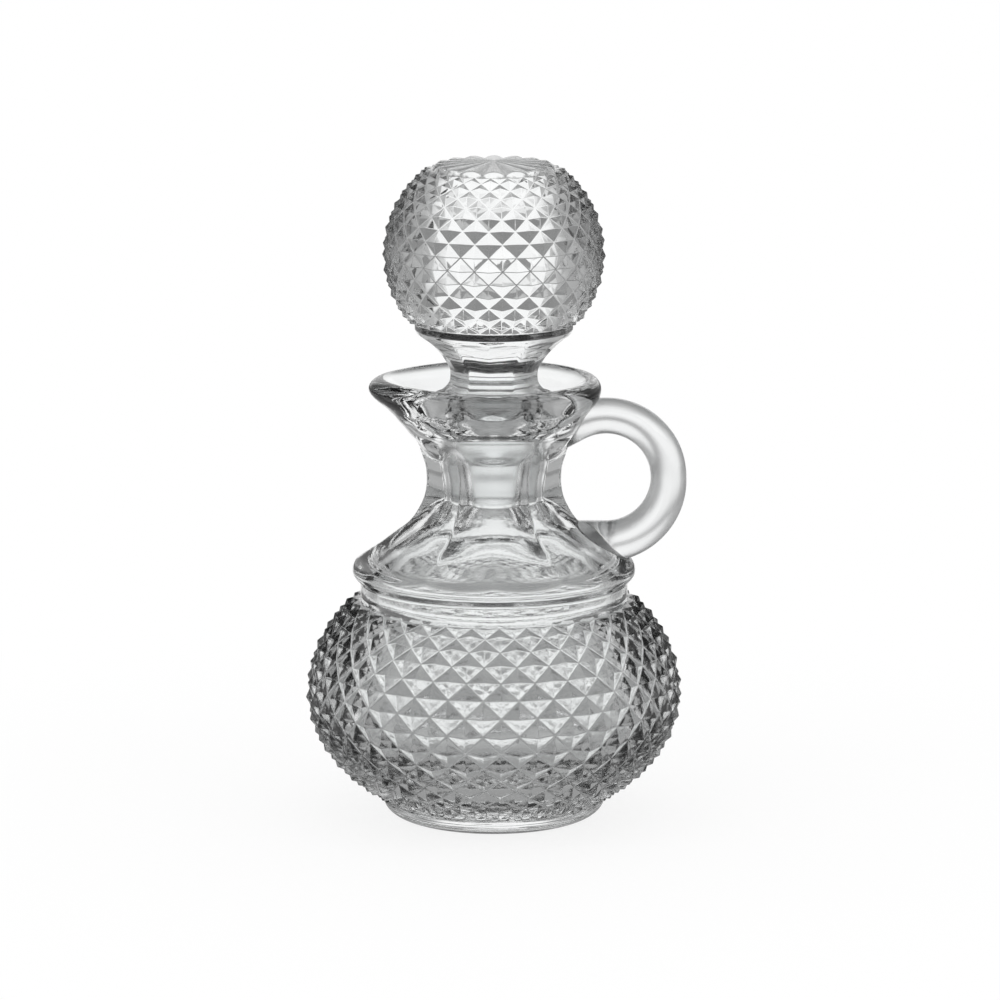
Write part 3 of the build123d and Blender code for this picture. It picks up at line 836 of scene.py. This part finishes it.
def inside_line(s, plug, top):
    """Levels from the top of the lip down the funnel and the seat, round the belly and over its floor."""
    seat_top = (seat_radius(plug, plug.plug_top), plug.plug_top)
    funnel = between(seat_top, (s.mouth_radius - s.lip_thickness, top), MOUTH_INSIDE_SHARES)
    funnel = smooth_line(funnel, SPACING["funnel"])
    seat_bottom = (seat_radius(plug, STOPPER_LOW.z), STOPPER_LOW.z)
    seat = straight(funnel[-1][:2], seat_bottom, SPACING["seat"])
    band_radius = s.band_radius - s.band_wall
    throat = between(seat_bottom, (band_radius, s.band_middle), SHOULDER_INSIDE_SHARES)
    band_turn = np.arccos(band_radius / s.belly_radius)
    reach = (s.band_middle - s.bulb_middle) / sin(band_turn)
    middle = (0, s.bulb_middle)
    bend = [
        (s.belly_radius * cos(band_turn * part), s.bulb_middle + reach * sin(band_turn * part))
        for part in THROAT_BEND_SHARES
    ]
    shoulder = smooth_line(np.vstack([throat, bend]), SPACING["shoulder inside"])
    bend_end = degrees(band_turn) * THROAT_BEND_SHARES[-1]
    upper = arc(middle, s.belly_radius, reach, bend_end, 0, SPACING["belly top"])
    lower = arc(middle, s.belly_radius, s.bulb_middle - s.belly_floor, 0, BELLY_END_ANGLE, SPACING["belly"])
    return np.vstack([funnel, unpulled(np.vstack([seat[1:], shoulder[1:], upper[1:], lower[1:]]))])


def make_handle(material):
    s, bottle = bpy.context.scene.cruet_handle, bpy.context.scene.cruet_bottle
    line = outside_line(bottle, BOTTLE_HIGH.z)
    hole_reach = HANDLE_HIGH.x - s.hole_radius - s.thickness
    hole_height = HANDLE_HIGH.z - s.hole_radius - s.thickness
    round_turns = circle_turns(HANDLE_AROUND)

    def section(turn, shrink=1.0):
        part = min(1, max(0, turn / s.lower_angle))
        thickness = s.thickness + (s.root_thickness - s.thickness) * part
        reach = s.hole_radius + thickness / 2
        out, up = cos(turn), sin(turn)
        centre = np.array([hole_reach + reach * out, 0, hole_height + reach * up])
        across = np.outer(np.cos(round_turns), (0, 1, 0)) - np.outer(np.sin(round_turns), (out, 0, up))
        return centre + across * thickness / 2 * shrink, np.array([-up, 0, out])

    def seated(points, direction):
        """The points pushed along a direction until they are a little inside the bottle's glass."""
        path = points[None] + ROOT_TRAVEL[:, None, None] * direction
        turns = np.arctan2(path[..., 0], -path[..., 1])
        limit = outside_radius(bottle, line, path[..., 2], turns) - s.seating
        inside = np.hypot(path[..., 0], path[..., 1]) < limit
        return path[np.argmax(inside, axis=0), np.arange(len(points))]

    def outside_bottle(points):
        """The points, moved away from the axis where they lie deeper in the bottle than the roots."""
        turns = np.arctan2(points[:, 0], -points[:, 1])
        limit = outside_radius(bottle, line, points[:, 2], turns) - s.seating
        radii = np.hypot(points[:, 0], points[:, 1])
        out = np.maximum(limit / radii, 1)[:, None]
        return points * np.hstack([out, out, np.ones_like(out)])

    def root(turn, inward):
        """Rings from the middle of a root's end face to its rim, and up to the loop."""
        points, direction = section(turn)
        direction = direction * inward
        face = [seated(section(turn, part)[0], direction) for part in ROOT_FACE_SHARES]
        run = [face[-1] + (points - face[-1]) * part for part in ROOT_RUN_SHARES]
        middle = seated(section(turn, 0)[0][:1], direction)
        return [middle, *face, *run]

    lower, upper = root(s.lower_angle, -1), root(s.upper_angle, 1)
    loop = [section(turn)[0] for turn in np.linspace(s.lower_angle, s.upper_angle, HANDLE_SECTIONS)]
    rings = [outside_bottle(points) for points in lower + loop + upper[::-1]]
    skin = Skin(rings[0][0])
    for points in rings[1:]:
        skin.grow(points)
    return skin.piece("handle_glass", material)


def make_stopper(material):
    s = bpy.context.scene.cruet_stopper
    turns, bottom = circle_turns(), STOPPER_LOW.z
    skin = Skin((0, 0, bottom))
    plug_edge, half_edge = s.plug_radius - s.chamfer, s.flange_edge / 2
    flat = straight((PLUG_MIDDLE_SHARE * s.plug_radius, bottom), (plug_edge, bottom), SPACING["plug end"])
    chamfer = arc((plug_edge, bottom + s.chamfer), s.chamfer, s.chamfer, -90, 0, SPACING["chamfer"])
    side = straight(chamfer[-1], (s.plug_top_radius, s.plug_top), SPACING["plug"])
    underside = between(side[-1], (s.flange_radius, s.flange_height), FLANGE_UNDERSIDE_SHARES)
    underside = smooth_line(underside, SPACING["flange underside"])
    edge_middle = (s.flange_radius - half_edge, s.flange_height + half_edge)
    edge = arc(edge_middle, half_edge, half_edge, *FLANGE_EDGE_ANGLES, SPACING["flange edge"])
    for radius, height in np.vstack([flat, chamfer[1:], side[1:], underside[1:-1]]):
        skin.grow(ring(turns, radius, height), "ground")
    for radius, height in edge:
        skin.grow(ring(turns, radius, height))

    lower = between((s.stem_radius, s.flange_height), (s.band_radius, s.stem_waist), STEM_LOWER_SHARES)
    upper = between((s.stem_radius, s.stem_waist), (s.band_radius, s.stem_top), STEM_UPPER_SHARES)
    ridge = smooth_line(np.vstack([lower, upper]), SPACING["stem"])
    start, band_bottom = edge[-1], s.diamonds_bottom - BAND_HEIGHT
    climb = ridge[:, 1]
    levels = np.concatenate([
        climb[(climb > start[1] + STEM_GAP) & (climb < band_bottom)],
        np.linspace(band_bottom, s.diamonds_bottom, BAND_LEVELS),
    ])
    blank = np.interp(
        levels, [start[1], s.stem_top, s.stem_top + BAND_CLIMB],
        [start[0], s.band_radius - BAND_WIDENING, s.band_radius],
    )
    opened = ease((levels - s.stem_waist) / (s.stem_top - s.stem_waist))
    pair_angles = s.waist_pair_angle + (s.pair_angle - s.waist_pair_angle) * opened
    for radius, height, pair_angle in zip(blank, levels, pair_angles):
        radii = cut_by_facets(radius, height, turns - s.stem_turn, ridge, s.stem_pairs, pair_angle)
        skin.grow(ring(turns, radii, height))
    skin.graft(relief(
        s, STOPPER_HIGH.y, s.diamonds_bottom, s.ball_middle, s.ball_reach, s.ball_reach, material
    ))
    tree = bpy.data.node_groups.get("Petals around") or petal_tree()
    skin.graft(grown(tree, petal_mesh(s), {"Copies": s.petals, "Material": material}), closing=True)
    return skin.piece("stopper_glass", material)


def fallen(share):
    """How far a quarter circle has fallen, from 0 to 1."""
    return 1 - sqrt(max(0, 1 - share**2))


def petal_mesh(s):
    """One petal of the rosette, from the middle of the crown to its rounded tip."""
    top, tip = STOPPER_HIGH.z, 1 - PETAL_TIP
    parts = np.linspace(PETAL_START, PETAL_TIP, PETAL_ROWS)
    parts = np.concatenate([parts, 1 - tip * np.cos(np.radians(TIP_ANGLES))])
    points = [(0, 0, top - CROWN_DENT)]
    for part in parts:
        crest, reach = top - CROWN_FALL * part, s.crown_radius * part
        for across in np.linspace(-1, 1, PETAL_ACROSS):
            sag = fallen(sqrt(PETAL_ROUNDNESS) * across) / fallen(sqrt(PETAL_ROUNDNESS))
            height = crest - s.petal_height * part * sag
            height -= (height - s.diamonds_top) * fallen(max(0, part - PETAL_TIP) / tip)
            turn = across * pi / s.petals
            points.append((reach * sin(turn), -reach * cos(turn), height))
    faces = [[1 + i, 2 + i, 0] for i in range(PETAL_ACROSS - 1)]
    for row in range(len(parts) - 1):
        for i in range(PETAL_ACROSS - 1):
            a = 1 + row * PETAL_ACROSS + i
            faces.append([a, a + PETAL_ACROSS, a + PETAL_ACROSS + 1, a + 1])
    mesh = bpy.data.meshes.new("petal")
    mesh.from_pydata(points, [], faces)
    return mesh


def new_material(name):
    material = bpy.data.materials.new(name)
    material.use_nodes = True
    tree = material.node_tree
    return material, tree, tree.nodes["Principled BSDF"]


def surface_group():
    """Unevenness of pressed glass: slow ripples, a fine grain, and marks where the mottle input is raised."""
    group = bpy.data.node_groups.new("Pressed surface", "ShaderNodeTree")
    labels = [layer + part for layer in SURFACE_LAYERS for part in (" Size", " Height")]
    for label in labels:
        group.interface.new_socket(name=label, in_out="INPUT", socket_type="NodeSocketFloat")
    group.interface.new_socket(name="Facing", in_out="INPUT", socket_type="NodeSocketVector")
    group.interface.new_socket(name="Normal", in_out="OUTPUT", socket_type="NodeSocketVector")
    source = group.nodes.new("NodeGroupInput")
    sizes = {label: Term(group, source.outputs[label]) for label in labels}
    where = read(group, "ShaderNodeTexCoord", "Object")

    def layer(name, detail):
        scale = sizes[name + " Size"].power(-1.0)
        noise = add(group, "ShaderNodeTexNoise", vector=where, scale=scale, detail=detail)[0]
        return noise * sizes[name + " Height"]

    ripples, grain, mottle = (layer(name, detail) for name, detail in SURFACE_LAYERS.items())
    height = ripples + grain + mottle
    facing = Term(group, source.outputs["Facing"])
    bump = add(group, "ShaderNodeBump", strength=1.0, distance=1.0, height=height, normal=facing)[0]
    add(group, "NodeGroupOutput", normal=bump)
    return group


def painted_finish(tree, name):
    """The share of a finish that the mesh carries, from 0 to 1."""
    node = tree.nodes.new("ShaderNodeAttribute")
    node.attribute_name = name
    return Term(tree, node.outputs["Fac"])


def leaving_side(tree, share_of_it, middle, bulge):
    """The direction in which the glass faces. Where light leaves through the diamonds, it is that of the
    plain curve under them, seen from inside, so that the far diamonds don't break up the near ones."""
    x, y, z = apart(tree, read(tree, "ShaderNodeTexCoord", "Object"))
    inwards = together(tree, x * -1.0, y * -1.0, (z - middle) * -bulge)
    inwards = add(tree, "ShaderNodeVectorMath", {"operation": "NORMALIZE"}, vector=inwards)[0]
    inwards = add(tree, "ShaderNodeVectorTransform", {"vector_type": "NORMAL"}, vector=inwards)[0]
    facing = read(tree, "ShaderNodeNewGeometry", "Normal")
    mix = tree.nodes.new("ShaderNodeMix")
    mix.data_type = "VECTOR"
    slots = [slot for slot in mix.inputs if slot.enabled]
    for slot, value in zip(slots, (share_of_it, facing, inwards)):
        feed(tree, slot, value)
    return Term(tree, [slot for slot in mix.outputs if slot.enabled][0])


def clear_glass(name, smoother=1.0, middle=0.0, bulge=1.0, plainness=0.0, far_roughness=0.0):
    """Clear glass, whose ripples and grain are wider where it was drawn by hand and not pressed."""
    finish = bpy.context.scene.cruet_finish
    material, tree, shader = new_material(name)
    shader.inputs["Base Color"].default_value = (*finish.tint, 1)
    shader.inputs["IOR"].default_value = GLASS_IOR
    shader.inputs["Transmission Weight"].default_value = 1.0
    pressed, inside, ground = [painted_finish(tree, part) for part in FINISHES]
    leaving = read(tree, "ShaderNodeNewGeometry", "Backfacing")
    blur = pressed * leaving * (finish.pressed_roughness - finish.roughness) + leaving * far_roughness
    blur = blur + inside * (finish.inside_roughness - finish.roughness)
    blur = blur + ground * (finish.ground_roughness - finish.roughness)
    feed(tree, shader.inputs["Roughness"], blur + finish.roughness)
    surface = tree.nodes.new("ShaderNodeGroup")
    surface.node_tree = bpy.data.node_groups.get("Pressed surface") or surface_group()
    values = {
        "Ripple Size": finish.ripple_size * smoother, "Ripple Height": finish.ripple_height,
        "Grain Size": finish.grain_size * smoother, "Grain Height": finish.grain_height,
        "Mottle Size": finish.mottle_size, "Mottle Height": inside * finish.mottle_height,
        "Facing": leaving_side(tree, pressed * leaving * plainness, middle, bulge),
    }
    for label, value in values.items():
        feed(tree, surface.inputs[label], value)
    tree.links.new(surface.outputs["Normal"], shader.inputs["Normal"])
    return material


class CRUET_OT_press_bottle(bpy.types.Operator):
    """Press the bottle: foot, diamond-point bulb, collar, faceted neck and mouth"""
    bl_idname = "cruet.press_bottle"
    bl_label = "Press the bottle"

    def execute(self, context):
        s, finish = context.scene.cruet_bottle, context.scene.cruet_finish
        bulge = 2 * BOTTLE_HIGH.y / (s.bulb_upper_reach + s.bulb_lower_reach)
        piece = make_bottle(clear_glass(
            "bottle glass", middle=s.bulb_middle, bulge=bulge**2, plainness=finish.bulb_plainness
        ))
        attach(piece, "bottle")
        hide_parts("bottle")
        return {"FINISHED"}


class CRUET_OT_draw_handle(bpy.types.Operator):
    """Draw the loop handle and seat its roots in the bottle"""
    bl_idname = "cruet.draw_handle"
    bl_label = "Draw the handle"

    def execute(self, context):
        softness = context.scene.cruet_finish.handle_roughness
        piece = make_handle(clear_glass("handle glass", smoother=2.0, far_roughness=softness))
        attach(piece, "bottle")
        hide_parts("handle")
        return {"FINISHED"}


class CRUET_OT_press_stopper(bpy.types.Operator):
    """Press the solid stopper: plug, flange, faceted stem, diamond-point ball and rosette"""
    bl_idname = "cruet.press_stopper"
    bl_label = "Press the stopper"

    def execute(self, context):
        s, finish = context.scene.cruet_stopper, context.scene.cruet_finish
        piece = make_stopper(clear_glass(
            "stopper glass", middle=s.ball_middle, bulge=finish.ball_bulge, plainness=finish.ball_plainness
        ))
        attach(piece, "stopper")
        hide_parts("stopper")
        return {"FINISHED"}


class CRUET_OT_set_stage(bpy.types.Operator):
    """Set the pale floor, the soft light and the camera"""
    bl_idname = "cruet.set_stage"
    bl_label = "Set the stage"

    def execute(self, context):
        make_floor()
        make_surroundings()
        make_lamps()
        make_camera()
        context.scene.view_settings.view_transform = "Standard"
        return {"FINISHED"}


def light_path(tree):
    """1 for what the camera sees straight, and 1 for what it sees in a reflection or through glass."""
    path = tree.nodes.new("ShaderNodeLightPath")
    seen, glossy, through = (
        Term(tree, path.outputs[label]) for label in ("Is Camera Ray", "Is Glossy Ray", "Is Transmission Ray")
    )
    return seen, glossy.maximum(through)


def eased(tree, value, low, high):
    """A share that climbs from 0 to 1 between two values."""
    smooth = {"interpolation_type": "SMOOTHSTEP"}
    return add(tree, "ShaderNodeMapRange", smooth, value=value, from_min=low, from_max=high)[0]


def panel_light(tree, x, y, gap_tone):
    """White panels on four sides with dark gaps between them, which draw the edges of clear glass."""
    crosswise = (x * y).absolute() * 2.0 / (x * x + y * y).maximum(MM * MM)
    return eased(tree, crosswise, *GAP_SHARES) * (gap_tone - 1.0) + 1.0


def make_floor():
    s = bpy.context.scene.cruet_stage
    mesh = bpy.data.meshes.new("floor")
    bm = bmesh.new()
    bmesh.ops.create_circle(bm, cap_ends=True, segments=FLOOR_SIDES, radius=s.floor_radius)
    bm.to_mesh(mesh)
    bm.free()
    floor = placed("floor", mesh)
    material, tree, shader = new_material("pale floor")
    shader.inputs["Base Color"].default_value = FLOOR_SHADE
    shader.inputs["Roughness"].default_value = FLOOR_ROUGHNESS
    mesh.materials.append(material)
    glow = tree.nodes.new("ShaderNodeEmission")
    mix = tree.nodes.new("ShaderNodeMixShader")
    x, y, _ = apart(tree, read(tree, "ShaderNodeTexCoord", "Object"))
    distance = (x * x + y * y).sqrt()
    seen, in_glass = light_path(tree)
    # Painted shade: what glass sees of the floor round the cruet is a grey glow, not its real shadow. The
    # glow turns white further out and darker again towards the room.
    far = eased(tree, distance, s.table_radius, s.table_edge)
    tone = far * panel_light(tree, x, y, s.gap_tone) + far.from_one() * s.table_tone
    past = eased(tree, distance, s.table_end, s.room_start)
    tone = past.from_one() * tone + past * s.room_tone
    feed(tree, glow.inputs["Strength"], seen + in_glass * tone)
    feed(tree, mix.inputs[0], in_glass + seen * (far * (1.0 - s.floor_glow) + s.floor_glow))
    tree.links.new(shader.outputs[0], mix.inputs[1])
    tree.links.new(glow.outputs[0], mix.inputs[2])
    tree.links.new(mix.outputs[0], tree.nodes["Material Output"].inputs["Surface"])


def make_surroundings():
    """What clear glass shows: four white panels at eye level, gaps between them, a ceiling and a panel
    straight overhead. The camera sees plain white, and the floor is lit by plain white."""
    s = bpy.context.scene.cruet_stage
    world = bpy.data.worlds.new("studio")
    bpy.context.scene.world = world
    world.use_nodes = True
    tree = world.node_tree
    x, y, up = apart(tree, read(tree, "ShaderNodeTexCoord", "Generated"))
    _, in_glass = light_path(tree)
    ceiling = eased(tree, up, *CEILING_SHARES)
    overhead = eased(tree, up, *OVERHEAD_SHARES)
    above = overhead * (s.overhead_tone - s.ceiling_tone) + s.ceiling_tone
    tone = panel_light(tree, x, y, s.gap_tone) * ceiling.from_one() + ceiling * above
    background = tree.nodes["Background"]
    background.inputs["Color"].default_value = (1, 1, 1, 1)
    feed(tree, background.inputs["Strength"], in_glass * (tone - 1.0) + 1.0)


def make_lamps():
    s = bpy.context.scene.cruet_stage
    for name, place in LAMP_PLACES.items():
        lamp = bpy.data.lights.new(name, "AREA")
        lamp.energy = s.lamp_power
        lamp.size = s.lamp_size
        holder = placed(name, lamp)
        holder.location = place
        aim = Vector(LAMP_AIM) - holder.location
        holder.rotation_euler = aim.to_track_quat("-Z", "Y").to_euler()


def make_camera():
    s = bpy.context.scene.cruet_stage
    camera = bpy.data.cameras.new("camera")
    camera.lens = s.focal_length
    camera.clip_start, camera.clip_end = CAMERA_CLIP
    holder = placed("camera", camera)
    tilt = s.camera_elevation
    back = Vector((0, -cos(tilt), sin(tilt))) * s.camera_distance
    holder.location = Vector((s.aim_side, 0, s.aim_height)) + back
    holder.rotation_euler = (pi / 2 - tilt, 0, 0)
    bpy.context.scene.camera = holder


class CRUET_PT_sidebar(bpy.types.Panel):
    """The cruet's sizes and the steps that build it"""
    bl_label = "Pressed glass cruet"
    bl_idname = "CRUET_PT_sidebar"
    bl_space_type = "VIEW_3D"
    bl_region_type = "UI"
    bl_category = "Cruet"

    def draw(self, context):
        for name, kind in SETTINGS.items():
            box = self.layout.box()
            box.label(text=name.replace("_", " ").capitalize())
            for size in kind.__annotations__:
                box.prop(getattr(context.scene, name), size)
        for step in STEPS:
            self.layout.operator(step.bl_idname)


SETTINGS = {
    "cruet_bottle": BottleSizes, "cruet_handle": HandleSizes, "cruet_stopper": StopperSizes,
    "cruet_finish": GlassFinish, "cruet_stage": StageSettings,
}
STEPS = [CRUET_OT_press_bottle, CRUET_OT_draw_handle, CRUET_OT_press_stopper, CRUET_OT_set_stage]


def register():
    for kind in [*SETTINGS.values(), *STEPS, CRUET_PT_sidebar]:
        bpy.utils.register_class(kind)
    for name, kind in SETTINGS.items():
        setattr(bpy.types.Scene, name, PointerProperty(type=kind))


def unregister():
    for name in SETTINGS:
        delattr(bpy.types.Scene, name)
    for kind in [CRUET_PT_sidebar, *STEPS, *SETTINGS.values()]:
        bpy.utils.unregister_class(kind)


def main():
    register()
    bpy.ops.cruet.press_bottle()
    bpy.ops.cruet.draw_handle()
    bpy.ops.cruet.press_stopper()
    bpy.ops.cruet.set_stage()


if __name__ == "__main__":
    main()
